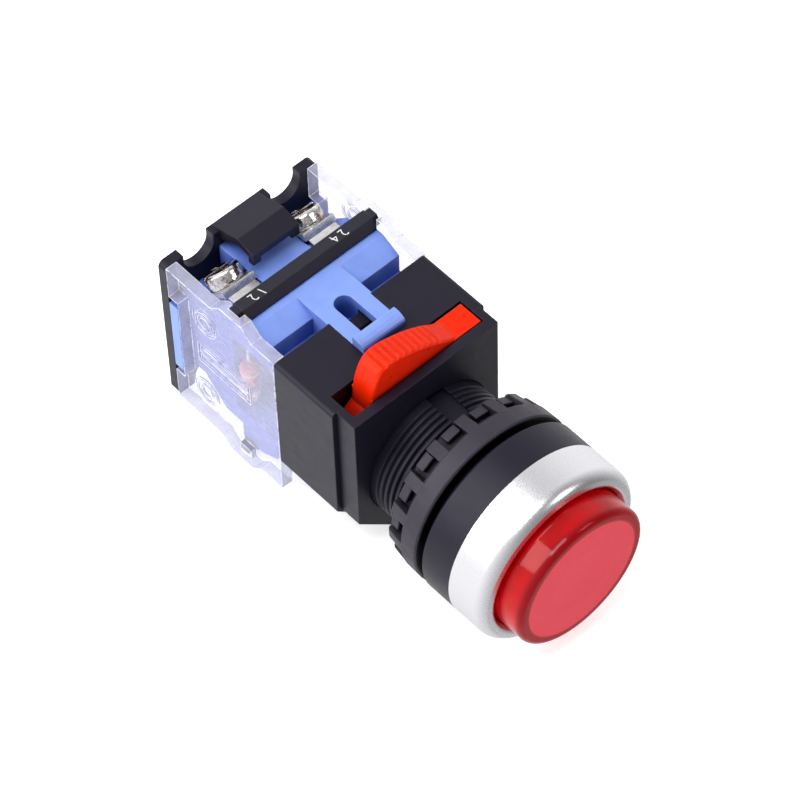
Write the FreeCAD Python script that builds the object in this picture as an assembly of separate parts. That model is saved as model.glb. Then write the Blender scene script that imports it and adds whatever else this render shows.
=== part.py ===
import FreeCAD, Part
import math
import os

# Illuminated industrial push button, 22 mm panel series, with its contact block.
# Millimetres. The button's axis is Y: the lens faces -Y, the contact block is at +Y, +Z is up.
# The origin is the centre of the gasket's rear face, which lies on the front of the panel.

# ---- driving dimensions: operating head ----
HEAD_R = 14.15            # flange and bezel
FLANGE_FRONT = -5.6
FLANGE_REAR = -0.05
BEZEL_FRONT = -12.4
BEZEL_ROUND = 2.0         # radius of the bezel's front shoulder
BEZEL_BORE = 11.6
NECK_R = 12.6             # neck that the bezel is pressed on
NECK_FRONT = -9.6
LENS_R = 11.35
LENS_FRONT = -16.45
LENS_REAR = -8.6
LENS_WALL = 1.2
RUN = 0.06                # radial running clearance
GASKET_IN, GASKET_OUT = 11.0, 13.3
GASKET_T = 1.0
TRAVEL = 4.0              # push of the button
# ---- threaded sleeve and lock nut ----
THREAD_R = 10.75
THREAD_DEPTH = 0.45
PITCH = 1.0
THREAD_FROM, THREAD_TO = 1.2, 13.2
SLEEVE_BORE = 9.3
SLEEVE_REAR = 19.7
SPRING_LEDGE = 6.0        # front face of the ledge that carries the return spring
LEDGE_T = 2.0
KEYWAY_X, KEYWAY_W, KEYWAY_DEPTH = 1.3, 3.2, 0.9
NUT_FRONT, NUT_REAR = 1.1, 7.2
NUT_R, NUT_REAR_R = 14.1, 13.5
NUT_BELT = 3.25           # plain band in front of the lugs
NUT_ROOT_R = 12.2         # floor of the pockets between the lugs
NUT_PAD_R = 13.2          # raised pad inside each pocket
WASHER_FRONT = 2.05       # the washer sits in the nut's front recess
NUT_LUGS = 16
NUT_FIRST = 16.6          # degrees from the top to the first lug
NUT_LUG_END, NUT_PAD_START, NUT_PAD_END = 0.34, 0.51, 0.96      # shares of the pitch
WASHER_R, WASHER_T = 13.35, 0.9
# ---- plunger and lamp ----
PLUNGER_R = 8.0
PLUNGER_BORE = 6.7
PLUNGER_REAR = 13.0
LAMP_R = 4.6
# ---- adapter box ----
BOX_X = 13.7
BOX_TOP, BOX_BOTTOM = 15.9, -12.7
COLLAR_X = 12.95
COLLAR_FRONT, BOX_FRONT, BOX_REAR = 13.7, 17.3, 29.0
CHAMFER_Z = -6.3          # where the lower corner chamfers start
WALL = 1.2
LEVER_Y0, LEVER_Y1 = 15.4, 19.4
SLOT_X = 11.7
SLOT_Y0, SLOT_Y1 = 15.2, 19.8
LEVER_SWEEP_R = 15.6
GRIP_CREST = [(-8.6, -2.5), (-8.2, 0.8), (-7.4, 3.3), (-6.2, 4.85), (-4.6, 5.3), (-2.6, 4.9), (0.0, 4.05),
              (2.4, 2.95), (4.4, 1.75), (5.8, 0.75), (7.2, 0.05)]     # X, height above the box
GRIP_ROUND = 0.45
GRIP_RIDGES, GRIP_RIDGE_X, GRIP_RIDGE_PITCH = 10, -5.6, 1.1
# ---- contact block: everything above its middle is mirrored below it ----
MID_Z = 0.5 * (BOX_TOP + BOX_BOTTOM)
BLOCK_X = 11.8
BLOCK_FRONT, BLOCK_REAR = 29.05, 51.15
COVER_X = 13.8
STEM_X = 3.75
LABEL_Y0, LABEL_Y1 = 36.6, 39.4
LABEL_TOP = BOX_TOP + 1.9
RIM_TOP = BOX_TOP + 0.1    # top edge of the clear covers and of the rear cover
HUMP_TOP = BOX_TOP + 1.9   # crest of the humps on the clear covers
PLATE_REAR = 52.8
SEAT_Y, SEAT_Z = 44.8, MID_Z + 9.3    # point where a terminal screw's axis meets its seat
SCREW_X = 7.3
STRIP_T = 0.7
CLAMP_T = 1.1
WASHER_RING_T = 0.5
SCREW_HEAD_R, SCREW_HEAD_T = 2.8, 1.7
CHAMBER_FRONT, CHAMBER_REAR = 31.5, 40.4
CHAMBER_HALF = 8.0        # half height of a contact chamber about MID_Z
LUG_HALF = 8.15           # half height of the side lugs at the block's rear edge
CHANNEL_X, CHANNEL_Z = 3.3, 8.1
CHANNEL_REAR = 45.0
CORE_X = 4.4              # half width of the core between the two chambers
TIP_R = 1.2
LEG_END = MID_Z + 3.4     # lower end of an upper fixed contact's leg
NC_LEG_Y = 33.25          # legs of the normally closed and normally open fixed contacts
NO_LEG_Y = CHAMBER_REAR - STRIP_T / 2
BRIDGE_X = 6.9
NC_BRIDGE_Y, NO_BRIDGE_Y = 34.78, 33.9
BRIDGE_T = 0.5
BRIDGE_REACH = 6.1
TIP_Z = MID_Z + 4.7
SADDLE_R, SADDLE_Y = 7.0, 44.5   # hollow between the two terminal wells, under the hood
RESISTOR_R, RESISTOR_X, RESISTOR_Y = 1.4, -10.3, 38.9

YA = FreeCAD.Vector(0, 1, 0)
ORIGIN = FreeCAD.Vector(0, 0, 0)


def vec(x, y, z):
    return FreeCAD.Vector(x, y, z)


def box(x0, x1, y0, y1, z0, z1):
    return Part.makeBox(x1 - x0, y1 - y0, z1 - z0, vec(x0, y0, z0))


def cyl(r, y0, y1, x=0.0, z=0.0):
    return Part.makeCylinder(r, y1 - y0, vec(x, y0, z), YA)


def tube(r_in, r_out, y0, y1, x=0.0, z=0.0):
    return cyl(r_out, y0, y1, x, z).cut(cyl(r_in, y0 - 1, y1 + 1, x, z))


def revolve(points):
    """Solid of revolution about Y from (radius, y) points."""
    wire = Part.makePolygon([vec(r, y, 0) for r, y in points + points[:1]])
    return Part.Face(wire).revolve(ORIGIN, YA, 360)


def prism_xz(points, y0, y1):
    """Outline in the XZ plane, extruded along Y."""
    wire = Part.makePolygon([vec(x, y0, z) for x, z in points + points[:1]])
    return Part.Face(wire).extrude(vec(0, y1 - y0, 0))


def prism_yz(points, x0, x1):
    """Outline in the YZ plane, extruded along X."""
    wire = Part.makePolygon([vec(x0, y, z) for y, z in points + points[:1]])
    return Part.Face(wire).extrude(vec(x1 - x0, 0, 0))


def sector(r_in, r_out, a0, a1, y0, y1):
    """Ring sector about Y; angles in degrees from +Z, positive towards +X."""
    blank = Part.makeCylinder(r_out, y1 - y0, vec(0, y0, 0), YA, a1 - a0)
    blank = blank.cut(cyl(r_in, y0 - 1, y1 + 1)) if r_in > 0 else blank
    blank.rotate(ORIGIN, YA, a0)
    return blank


def fuse(shapes):
    whole = shapes[0]
    for shape in shapes[1:]:
        whole = whole.fuse(shape)
    return whole.removeSplitter()


def cut(shape, tools):
    for tool in tools:
        shape = shape.cut(tool)
    return shape


def flip(shape):
    """Mirror above to below the contact block's middle."""
    return shape.mirror(vec(0, 0, MID_Z), vec(0, 0, 1))


def swap(shape):
    """Mirror right to left."""
    return shape.mirror(ORIGIN, vec(1, 0, 0))


def four(shape):
    """A piece of the upper right terminal and its three mirror images."""
    pair = [shape, swap(shape)]
    return pair + [flip(one) for one in pair]


def save(name, shapes):
    shapes = shapes if isinstance(shapes, list) else [shapes]
    solids = [solid for shape in shapes for solid in shape.Solids]
    whole = solids[0] if len(solids) == 1 else Part.makeCompound(solids)
    print("%-26s solids %2d volume %9.2f valid %s" % (name, len(solids), whole.Volume, whole.isValid()))
    whole.exportStep("parts/%s.step" % name)


def rings(radius, wire_r, y0, y1, turns, x=0.0, z=0.0):
    """A coil spring as a stack of closed wire rings joined by a thin straight bar."""
    step = (y1 - y0 - 2 * wire_r) / (turns - 1)
    coils = []
    for i in range(turns):
        y = y0 + wire_r + i * step
        coils.append(Part.makeTorus(radius, wire_r, vec(x, y, z), YA))
    bar = cyl(wire_r * 0.6, y0 + wire_r, y1 - wire_r, x + radius, z)
    return fuse([bar] + coils)


# ---------------------------------------------------------------- operating head

def thread_grooves():
    """V grooves, one per pitch, standing for the sleeve's fine thread."""
    grooves = []
    y = THREAD_FROM
    half = 0.42 * PITCH
    while y < THREAD_TO:
        root = THREAD_R - THREAD_DEPTH
        out = THREAD_R + 0.2
        grooves.append(revolve([(root, y), (out, y - half), (out, y + half)]))
        y += PITCH
    return grooves


def keyway():
    y0 = THREAD_FROM - 0.6
    return box(KEYWAY_X - KEYWAY_W / 2, KEYWAY_X + KEYWAY_W / 2, y0, SLEEVE_REAR + 1,
               THREAD_R - KEYWAY_DEPTH, THREAD_R + 1)


def head_housing():
    shoulder = -3.95
    bore = LENS_R + RUN
    body = revolve([
        (bore, NECK_FRONT), (NECK_R - 0.3, NECK_FRONT), (NECK_R, NECK_FRONT + 0.3),
        (NECK_R, FLANGE_FRONT), (HEAD_R, FLANGE_FRONT), (HEAD_R, FLANGE_REAR - 0.4),
        (HEAD_R - 0.4, FLANGE_REAR), (GASKET_OUT, FLANGE_REAR), (GASKET_OUT, -GASKET_T),
        (THREAD_R, -GASKET_T), (THREAD_R, SLEEVE_REAR - 0.5), (THREAD_R - 0.5, SLEEVE_REAR),
        (SLEEVE_BORE, SLEEVE_REAR), (SLEEVE_BORE, SPRING_LEDGE + LEDGE_T),
        (PLUNGER_R + RUN, SPRING_LEDGE + LEDGE_T), (PLUNGER_R + RUN, SPRING_LEDGE),
        (SLEEVE_BORE, SPRING_LEDGE), (SLEEVE_BORE, shoulder), (bore, shoulder)])
    groove = tube(10.1, THREAD_R + 1, 16.2, 18.6)
    exits = [sector(10.1, THREAD_R + 1, side + 4.5, side + 14.5, 18.5, SLEEVE_REAR + 1)
             for side in (-90, 90)]
    return cut(body, thread_grooves() + [keyway(), groove] + exits)


def panel_gasket():
    return tube(GASKET_IN, GASKET_OUT - 0.02, -GASKET_T, 0)


def bezel_ring():
    """Metal ring: plain outside, round shoulder, crown, then a short slope in to the bore."""
    centre_r, centre_y = HEAD_R - BEZEL_ROUND, BEZEL_FRONT + BEZEL_ROUND
    steps = [math.radians(a) for a in range(0, 61, 6)]
    shoulder = [(centre_r + BEZEL_ROUND * math.cos(a), centre_y - BEZEL_ROUND * math.sin(a)) for a in steps]
    return revolve([(NECK_R, FLANGE_FRONT), (HEAD_R, FLANGE_FRONT)] + shoulder
                   + [(12.4, BEZEL_FRONT + 0.1), (12.1, BEZEL_FRONT + 0.2), (BEZEL_BORE, BEZEL_FRONT + 0.9),
                      (BEZEL_BORE, NECK_FRONT), (NECK_R, NECK_FRONT)])


def lens_cap():
    edge = 0.9
    cap = cyl(LENS_R, LENS_FRONT, LENS_REAR)
    rim = [e for e in cap.Edges if abs(e.BoundBox.YMax - LENS_FRONT) < 0.01]
    cap = cap.makeFillet(edge, rim)
    hollow = cyl(LENS_R - LENS_WALL, LENS_FRONT + LENS_WALL, LENS_REAR + 1)
    dish = Part.makeSphere(120, vec(0, LENS_FRONT + 0.12 - 120, 0))
    return cap.cut(hollow).cut(dish.common(cyl(LENS_R - 1.6, LENS_FRONT - 1, LENS_FRONT + 1)))


def diffuser():
    r = LENS_R - LENS_WALL - 0.05
    front = LENS_FRONT + LENS_WALL + 0.02
    return cyl(r, front, -9.7).cut(cyl(r - 1.0, front + 1.0, -9))


def button_plunger():
    flange_front, flange_rear = -9.6, -8.0
    socket = LENS_R - LENS_WALL - 0.05
    body = fuse([
        cyl(socket, flange_front, LENS_REAR + 0.02),
        cyl(LENS_R - 0.15, LENS_REAR + 0.02, flange_rear),
        cyl(PLUNGER_R, flange_rear, PLUNGER_REAR),
        tube(PLUNGER_R - 0.5, PLUNGER_R + 0.6, SPRING_LEDGE + LEDGE_T + 0.05,
             SPRING_LEDGE + LEDGE_T + 1.2)])
    body = body.cut(cyl(PLUNGER_BORE, flange_front - 1, PLUNGER_REAR + 1))
    relief = [box(-1.0, 1.0, 4.0, PLUNGER_REAR + 1, -PLUNGER_R - 2, PLUNGER_R + 2).rotated(ORIGIN, YA, a)
              for a in (45, 135)]
    return cut(body, relief)


def button_return_spring():
    middle = 0.5 * (PLUNGER_R + SLEEVE_BORE)
    return rings(middle, 0.35, -7.98, SPRING_LEDGE - 0.02, 8)


def lock_nut():
    belt_rear = NUT_FRONT + NUT_BELT
    bore = THREAD_R + RUN
    seat = WASHER_FRONT + WASHER_T
    deep = NUT_ROOT_R - 0.3
    core = revolve([
        (bore, seat), (WASHER_R + 0.1, seat), (WASHER_R + 0.1, NUT_FRONT),
        (NUT_R - 0.25, NUT_FRONT), (NUT_R, NUT_FRONT + 0.25), (NUT_R - 0.1, belt_rear - 0.45),
        (NUT_R - 0.5, belt_rear), (NUT_ROOT_R, belt_rear), (NUT_ROOT_R - 0.1, NUT_REAR - 0.35),
        (bore, NUT_REAR - 0.35)])
    lug_ring = revolve([
        (deep, belt_rear - 0.6), (NUT_R - 0.14, belt_rear - 0.6), (NUT_R - 0.25, belt_rear + 0.3),
        (NUT_REAR_R, NUT_REAR - 0.3), (NUT_REAR_R - 0.3, NUT_REAR), (deep, NUT_REAR)])
    pad_ring = revolve([
        (deep, belt_rear + 1.1), (NUT_PAD_R - 0.12, belt_rear + 1.1), (NUT_PAD_R, belt_rear + 1.22),
        (NUT_PAD_R - 0.1, NUT_REAR - 0.35), (NUT_PAD_R - 0.3, NUT_REAR - 0.2), (deep, NUT_REAR - 0.2)])
    pitch = 360.0 / NUT_LUGS
    blocks = []
    for i in range(NUT_LUGS):
        start = NUT_FIRST + i * pitch
        lug = sector(deep + 0.1, 15.5, start, start + NUT_LUG_END * pitch, 3, NUT_REAR + 1)
        pad_end = start + NUT_PAD_END * pitch
        pad = sector(deep + 0.1, 15.5, start + NUT_PAD_START * pitch, pad_end, 3, NUT_REAR + 1)
        blocks += [lug_ring.common(lug), pad_ring.common(pad)]
    return fuse([core] + blocks)


def nut_washer():
    rear = WASHER_FRONT + WASHER_T - 0.02
    ring = tube(THREAD_R + RUN, WASHER_R, WASHER_FRONT, rear)
    half = KEYWAY_W / 2 - 0.15
    tab = box(KEYWAY_X - half, KEYWAY_X + half, WASHER_FRONT, rear,
              THREAD_R - KEYWAY_DEPTH + 0.1, THREAD_R + 1.0)
    return fuse([ring, tab])


# ---------------------------------------------------------------- lamp

def lamp_socket():
    return fuse([tube(LAMP_R + 0.05, LAMP_R + 0.6, 12.0, 25.0), tube(1.2, LAMP_R + 0.6, 24.4, 25.0)])


def lamp_base():
    pins = [Part.makeCylinder(0.4, 0.6, vec(sign * (LAMP_R - 0.1), 15, 0), vec(sign, 0, 0))
            for sign in (-1, 1)]
    shell = fuse([cyl(LAMP_R, 12.2, 22.0)] + [pin.common(cyl(LAMP_R + 0.04, 10, 24)) for pin in pins])
    return fuse([shell, cyl(1.6, 22.0, 23.0)])


def led_capsule():
    dome = Part.makeSphere(LAMP_R - 0.1, vec(0, 1.0, 0))
    return fuse([cyl(LAMP_R - 0.1, 1.0, 12.2), dome.common(cyl(6, -6, 1.1))])


def lamp_carrier():
    """Black frame clipped in the adapter; it holds the lamp socket and lets the pusher past."""
    tower = tube(LAMP_R + 0.62, 6.2, 12.6, 26.6)
    floor = box(-12.3, 12.3, 26.6, 28.6, CHAMFER_Z + 0.6, BOX_TOP - 1.7)
    body = fuse([tower, floor])
    legs = box(-2.4, 2.4, 26, 29, 6.3, 8.4)
    return cut(body, [legs, legs.mirror(ORIGIN, vec(0, 0, 1)), cyl(LAMP_R + 0.62, 24, 27.6),
                      cyl(1.5, 27, 29, -3.0), cyl(1.5, 27, 29, 3.0)])


def lamp_contact():
    """Spring blade that presses on the lamp's foot, with the tail that runs back to the block."""
    disc = cyl(2.6, 25.6, 26.0)
    finger = cyl(0.8, 23.05, 25.7)
    tail = box(-0.4, 0.4, 25.6, 26.0, 1.5, 4.0)
    return fuse([disc, finger, tail])


# ---------------------------------------------------------------- adapter

def adapter_outline(half, top, bottom, inset=0.0):
    start = CHAMFER_Z + inset * 0.414
    drop = start - bottom
    return [(half, top), (half, start), (half - drop, bottom), (-half + drop, bottom),
            (-half, start), (-half, top)]


def lever_slot():
    return box(-SLOT_X, SLOT_X, SLOT_Y0, SLOT_Y1, BOX_TOP - 3, BOX_TOP + 1)


def adapter_front():
    body = prism_xz(adapter_outline(COLLAR_X, BOX_TOP, BOX_BOTTOM), COLLAR_FRONT, BOX_FRONT)
    cavity = prism_xz(adapter_outline(COLLAR_X - 0.85, BOX_TOP - 0.85, BOX_BOTTOM + 0.75, 0.85),
                      SLOT_Y0, BOX_FRONT + 1)
    return cut(body, [cavity, lever_slot(), cyl(THREAD_R + 0.1, COLLAR_FRONT - 1, BOX_FRONT)])


def adapter_body():
    body = prism_xz(adapter_outline(BOX_X, BOX_TOP, BOX_BOTTOM), BOX_FRONT, BOX_REAR)
    upright = [e for e in body.Edges if e.BoundBox.YLength > 5 and e.BoundBox.ZMin > 10]
    body = body.makeFillet(0.7, upright)
    lever_room = prism_xz(adapter_outline(COLLAR_X - 0.85, BOX_TOP - 0.85, BOX_BOTTOM + 0.75, 0.85),
                          BOX_FRONT - 1, SLOT_Y1)
    rear_room = prism_xz(adapter_outline(BOX_X - WALL, BOX_TOP - WALL, BOX_BOTTOM + WALL, WALL),
                         21.4, BOX_REAR + 1)
    notch = box(-STEM_X - 0.1, STEM_X + 0.1, 21.9, BOX_REAR + 1, BOX_TOP - 3, BOX_TOP + 1)
    return cut(body, [lever_room, rear_room, lever_slot(), notch, cyl(8.9, 19, 22)])


def lever_grip():
    """Crescent thumb grip: steep rounded left end, ridged back running down to the right."""
    points = [vec(x, LEVER_Y0, BOX_TOP + rise) for x, rise in GRIP_CREST]
    crest = Part.BSplineCurve()
    crest.interpolate(points)
    corner = vec(points[-1].x, LEVER_Y0, points[0].z)
    sides = [Part.LineSegment(points[-1], corner), Part.LineSegment(corner, points[0])]
    wire = Part.Wire([crest.toShape()] + [side.toShape() for side in sides])
    grip = Part.Face(wire).extrude(vec(0, LEVER_Y1 - LEVER_Y0, 0))
    rounded = [e for e in grip.Edges if e.BoundBox.YLength < 0.01 and e.BoundBox.ZMax > BOX_TOP + 3]
    grip = grip.makeFillet(GRIP_ROUND, rounded)
    for i in range(GRIP_RIDGES):
        x = GRIP_RIDGE_X + i * GRIP_RIDGE_PITCH
        right = next(k for k, (px, _) in enumerate(GRIP_CREST) if px > x)
        (xa, za), (xb, zb) = GRIP_CREST[right - 1], GRIP_CREST[right]
        z = BOX_TOP + za + (zb - za) * (x - xa) / (xb - xa)
        grip = grip.cut(cyl(0.5, LEVER_Y0 - 1, LEVER_Y1 + 1, x, z + 0.32))
    return grip


def locking_lever():
    bar = box(-8.3, 11.4, LEVER_Y0, LEVER_Y1, 12.0, BOX_TOP)
    ring = sector(THREAD_R + 0.1, 11.95, -135, 135, LEVER_Y0, LEVER_Y1)
    wing = sector(THREAD_R + 0.1, LEVER_SWEEP_R, -40, 40, LEVER_Y0, LEVER_Y1)
    wing = wing.cut(box(-20, 20, 10, 25, BOX_TOP - 0.8, 30))
    lugs = [sector(10.2, THREAD_R + 0.3, side - 4, side + 4, 16.3, 18.5) for side in (-90, 90)]
    return fuse([bar, ring, wing, lever_grip()] + lugs)


# ---------------------------------------------------------------- contact block

def strip(points, thickness, x0, x1):
    """Bent strip: a centre line in the YZ plane, given a thickness and a width along X."""
    pieces = []
    h = thickness / 2
    for (ya, za), (yb, zb) in zip(points, points[1:]):
        run = math.hypot(yb - ya, zb - za)
        dy, dz = (yb - ya) / run, (zb - za) / run
        pieces.append(prism_yz([(ya + dz * h, za - dy * h), (yb + dz * h, zb - dy * h),
                                (yb - dz * h, zb + dy * h), (ya - dz * h, za + dy * h)], x0, x1))
    for y, z in points[1:-1]:
        pieces.append(Part.makeCylinder(h, x1 - x0, vec(x0, y, z), vec(1, 0, 0)))
    return fuse(pieces)


def contact_path(leg_y):
    """Centre line of an upper fixed contact, from its sloping terminal end to its leg in the chamber."""
    s = math.sqrt(0.5)
    y0, z0 = SEAT_Y + s * STRIP_T / 2, SEAT_Z + s * STRIP_T / 2
    return [(y0 + 2.6 * s, z0 - 2.6 * s), (y0 - 2.9 * s, z0 + 2.9 * s), (leg_y, z0 + 2.9 * s), (leg_y, LEG_END)]


def on_screw_axis(shape, height):
    """Put a shape made about +Z, with its foot at the origin, at a height on the upper right screw axis."""
    s = math.sqrt(0.5)
    shape = shape.copy()
    shape.rotate(ORIGIN, vec(1, 0, 0), -45)
    shape.translate(vec(SCREW_X, SEAT_Y + s * height, SEAT_Z + s * height))
    return shape


def fixed_contact(leg_y):
    x0, x1 = SCREW_X - 2.4, SCREW_X + 2.4
    hole = on_screw_axis(Part.makeCylinder(1.85, 4), -1)
    return strip(contact_path(leg_y), STRIP_T, x0, x1).cut(hole)


def well():
    """Room round the upper right terminal: a ledge behind the label bar, then the sloping seat."""
    s = math.sqrt(0.5)
    roof = BOX_TOP + 1
    ledge = SEAT_Z + s * (STRIP_T / 2 + 2.9) - STRIP_T / 2 - 0.02
    front = LABEL_Y1 + 0.05
    return prism_yz([(front, roof), (front, ledge), (SEAT_Y - (ledge - SEAT_Z), ledge),
                     (SEAT_Y + 3.2 * s, SEAT_Z - 3.2 * s), (52.0, SEAT_Z - 3.2 * s), (52.0, roof)],
                    CORE_X, COVER_X)


def saddle():
    """Concave top of the core, from the label bar to the room under the hood."""
    reach = CORE_X + 0.5
    middle = vec(-reach, SADDLE_Y, BOX_TOP - 2.9 + SADDLE_R)
    hollow = Part.makeCylinder(SADDLE_R, 2 * reach, middle, vec(1, 0, 0))
    return hollow.common(box(-reach, reach, LABEL_Y1 + 0.05, 52.0, BOX_TOP - 4, BOX_TOP + 1))


def contact_slots():
    slots = []
    for leg_y, side in ((NC_LEG_Y, swap), (NO_LEG_Y, lambda shape: shape)):
        upper = side(strip(contact_path(leg_y)[1:], STRIP_T + 0.1, SCREW_X - 2.45, SCREW_X + 2.45))
        slots += [upper, flip(upper)]
    return slots


def chamber(x0, x1):
    return box(x0, x1, CHAMBER_FRONT, CHAMBER_REAR, MID_Z - CHAMBER_HALF, MID_Z + CHAMBER_HALF)


def top_relief():
    """Sloping pad and deep pocket beside the stem, upper right."""
    roof = BOX_TOP + 0.5
    return prism_yz([(28.0, roof), (28.0, BOX_TOP - 5), (32.2, BOX_TOP - 5), (32.2, BOX_TOP - 1.6),
                     (35.4, BOX_TOP), (35.4, roof)], STEM_X + 0.25, 20)


def stem():
    """Snap tongue that reaches over the adapter, with its raised latch lip and long hole."""
    tongue = box(-STEM_X, STEM_X, 22.0, BLOCK_FRONT + 1, BOX_TOP - 1.5, BOX_TOP)
    hump = [(22.0, -0.1), (22.0, 0.7), (22.2, 1.05), (22.6, 1.35), (23.2, 1.55), (23.9, 1.6), (24.3, 1.5),
            (24.3, -0.1)]
    lip = prism_yz([(y, BOX_TOP + rise) for y, rise in hump], -STEM_X, STEM_X)
    return fuse([tongue, lip])


def stem_hole():
    r = 1.45
    floor = BOX_TOP - 5
    slot = box(-r, r, 24.4, 31.6 - r, floor, BOX_TOP + 1)
    return fuse([slot, Part.makeCylinder(r, 6, vec(0, 31.6 - r, floor))])


def contact_housing():
    block = box(-BLOCK_X, BLOCK_X, BLOCK_FRONT, BLOCK_REAR, BOX_BOTTOM, BOX_TOP)
    lugs = box(-COVER_X, COVER_X, 49.4, BLOCK_REAR, MID_Z - LUG_HALF, MID_Z + LUG_HALF)
    body = fuse([block, stem(), lugs])
    tools = four(well()) + contact_slots() + [
        chamber(-COVER_X, -CORE_X), chamber(CORE_X, COVER_X),
        box(-CHANNEL_X, CHANNEL_X, BLOCK_FRONT - 1, CHANNEL_REAR, -CHANNEL_Z, CHANNEL_Z),
        box(-5.0, 5.0, CHAMBER_FRONT, CHAMBER_REAR, MID_Z - 1.9, MID_Z + 1.9),
        box(-9.4, -CORE_X + 0.1, CHAMBER_REAR - 0.1, 44.2, MID_Z - 2.4, MID_Z + 2.4)]
    tools += four(top_relief()) + [stem_hole()]
    tools += four(on_screw_axis(Part.makeCylinder(1.78, 8), -4.2))
    hood_room = box(-5.4, 5.4, SADDLE_Y, 52.0, BOX_TOP - 2.9, BOX_TOP + 1)
    tools += [hood_room, flip(hood_room), saddle(), flip(saddle())]
    label_seat = box(-13.5, 13.5, LABEL_Y0, LABEL_Y1, BOX_TOP - 0.7, BOX_TOP + 1)
    tools += [label_seat, flip(label_seat)]
    return cut(body, tools)


def label_bar():
    foot, step = BOX_TOP - 0.7, BOX_TOP + 0.4
    body = prism_yz([(LABEL_Y0, foot), (LABEL_Y0, step + 0.2), (LABEL_Y0 + 0.9, LABEL_TOP),
                     (LABEL_Y1 - 0.1, LABEL_TOP), (LABEL_Y1, LABEL_TOP - 0.2), (LABEL_Y1, foot)], -11.75, 11.75)
    tongue = prism_yz([(LABEL_Y0 + 0.3, step), (LABEL_Y0 + 1.0, LABEL_TOP - 0.15),
                       (LABEL_Y1 - 0.3, LABEL_TOP - 0.15), (LABEL_Y1 - 0.3, step)], -12.7, 12.7)
    return fuse([body, tongue])


def side_cover():
    """Right-hand clear cover: a plate with a hump on each long edge, a framed window and bosses."""
    lo = 2 * MID_Z
    top = [(BLOCK_FRONT, RIM_TOP), (33.5, RIM_TOP), (35.5, HUMP_TOP), (40.0, HUMP_TOP), (42.0, RIM_TOP),
           (BLOCK_REAR, RIM_TOP)]
    bottom = [(y, lo - z) for y, z in reversed(top)]
    plate = prism_yz(top + bottom, BLOCK_X + 0.1, COVER_X)
    low = MID_Z - 0.5
    frame = box(COVER_X - 0.4, COVER_X + 1, 34.7, 45.5, low, low + 4.0)
    frame = frame.cut(box(COVER_X - 1, COVER_X + 2, 35.2, 45.0, low + 0.6, low + 3.4))
    frame = frame.fuse(box(COVER_X - 0.4, COVER_X + 1, 35.2, 45.0, low + 1.75, low + 2.15))
    marks = []
    for y, z in ((43.6, MID_Z + 9.3), (44.5, MID_Z - 7.2)):
        for r_in, r_out in ((2.0, 2.4), (1.0, 1.3)):
            ring = Part.makeCylinder(r_out, 1.4, vec(COVER_X - 0.4, y, z), vec(1, 0, 0))
            marks.append(ring.cut(Part.makeCylinder(r_in, 3, vec(COVER_X - 1, y, z), vec(1, 0, 0))))
    lug_gap = box(BLOCK_X, COVER_X + 1, 49.3, BLOCK_REAR + 1, MID_Z - LUG_HALF - 0.1, MID_Z + LUG_HALF + 0.1)
    label_gap = box(BLOCK_X, 12.8, LABEL_Y0 + 0.2, LABEL_Y1 - 0.2, BOX_TOP + 0.35, HUMP_TOP + 1)
    return cut(plate, [frame, lug_gap, label_gap, flip(label_gap)] + marks)


def rear_cover():
    plate = box(-COVER_X, COVER_X, BLOCK_REAR + 0.05, PLATE_REAR, 2 * MID_Z - RIM_TOP, RIM_TOP)
    corners = [e for e in plate.Edges if e.BoundBox.YLength > 1]
    plate = plate.makeFillet(1.0, corners)
    u_r, u_x, u_z = 2.7, 7.9, RIM_TOP - 1.1
    scallop = fuse([box(u_x - u_r, u_x + u_r, 50, 54, u_z, RIM_TOP + 1), cyl(u_r, 50, 54, u_x, u_z)])
    plate = cut(plate, four(scallop))
    ridge_y, front_y = 47.2, 44.0
    under = RIM_TOP - 1.3
    hood = prism_yz([(PLATE_REAR, under), (PLATE_REAR, RIM_TOP), (ridge_y, RIM_TOP + 1.8),
                     (front_y, RIM_TOP + 1.0), (front_y, RIM_TOP - 0.1), (ridge_y, RIM_TOP + 0.6),
                     (50.5, under)], -4.2, 4.2)
    feet = [box(side * 3.5 - 0.7, side * 3.5 + 0.7, front_y, front_y + 1.0, RIM_TOP - 1.1, RIM_TOP + 0.4)
            for side in (-1, 1)]
    top = fuse([hood] + feet)
    return fuse([plate, top, flip(top)])


def terminal_screw():
    head = Part.makeCylinder(SCREW_HEAD_R, SCREW_HEAD_T)
    rim = [e for e in head.Edges if abs(e.BoundBox.ZMin - SCREW_HEAD_T) < 0.01]
    head = head.makeFillet(0.6, rim)
    across = Part.makeBox(8, 0.85, 2, vec(-4, -0.425, SCREW_HEAD_T - 1.0))
    along = Part.makeBox(0.85, 4.0, 2, vec(-0.425, -2.0, SCREW_HEAD_T - 1.0))
    head = head.cut(across).cut(along)
    stack = STRIP_T + CLAMP_T + WASHER_RING_T
    shank = Part.makeCylinder(1.7, 3.4 + stack, vec(0, 0, -3.4 - stack))
    return on_screw_axis(fuse([head, shank]), stack)


def lock_washer():
    ring = Part.makeCylinder(2.6, WASHER_RING_T - 0.02).cut(Part.makeCylinder(1.75, 3, vec(0, 0, -1)))
    gap = Part.makeBox(0.5, 4, 2, vec(-0.25, 0, -0.5))
    return on_screw_axis(ring.cut(gap), STRIP_T + CLAMP_T + 0.01)


def clamp_plate():
    half = 3.1
    plate = Part.makeBox(2 * half - 0.6, 2 * half, CLAMP_T, vec(-half + 0.3, -half, 0))
    for i in range(7):
        y = -half + 0.55 + i * 0.85
        plate = plate.cut(Part.makeBox(8, 0.3, 0.6, vec(-4, y, -0.4)))
        plate = plate.cut(Part.makeBox(8, 0.3, 0.6, vec(-4, y, CLAMP_T - 0.2)))
    plate = plate.cut(Part.makeCylinder(1.8, 4, vec(0, 0, -1)))
    return on_screw_axis(plate, STRIP_T)


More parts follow.
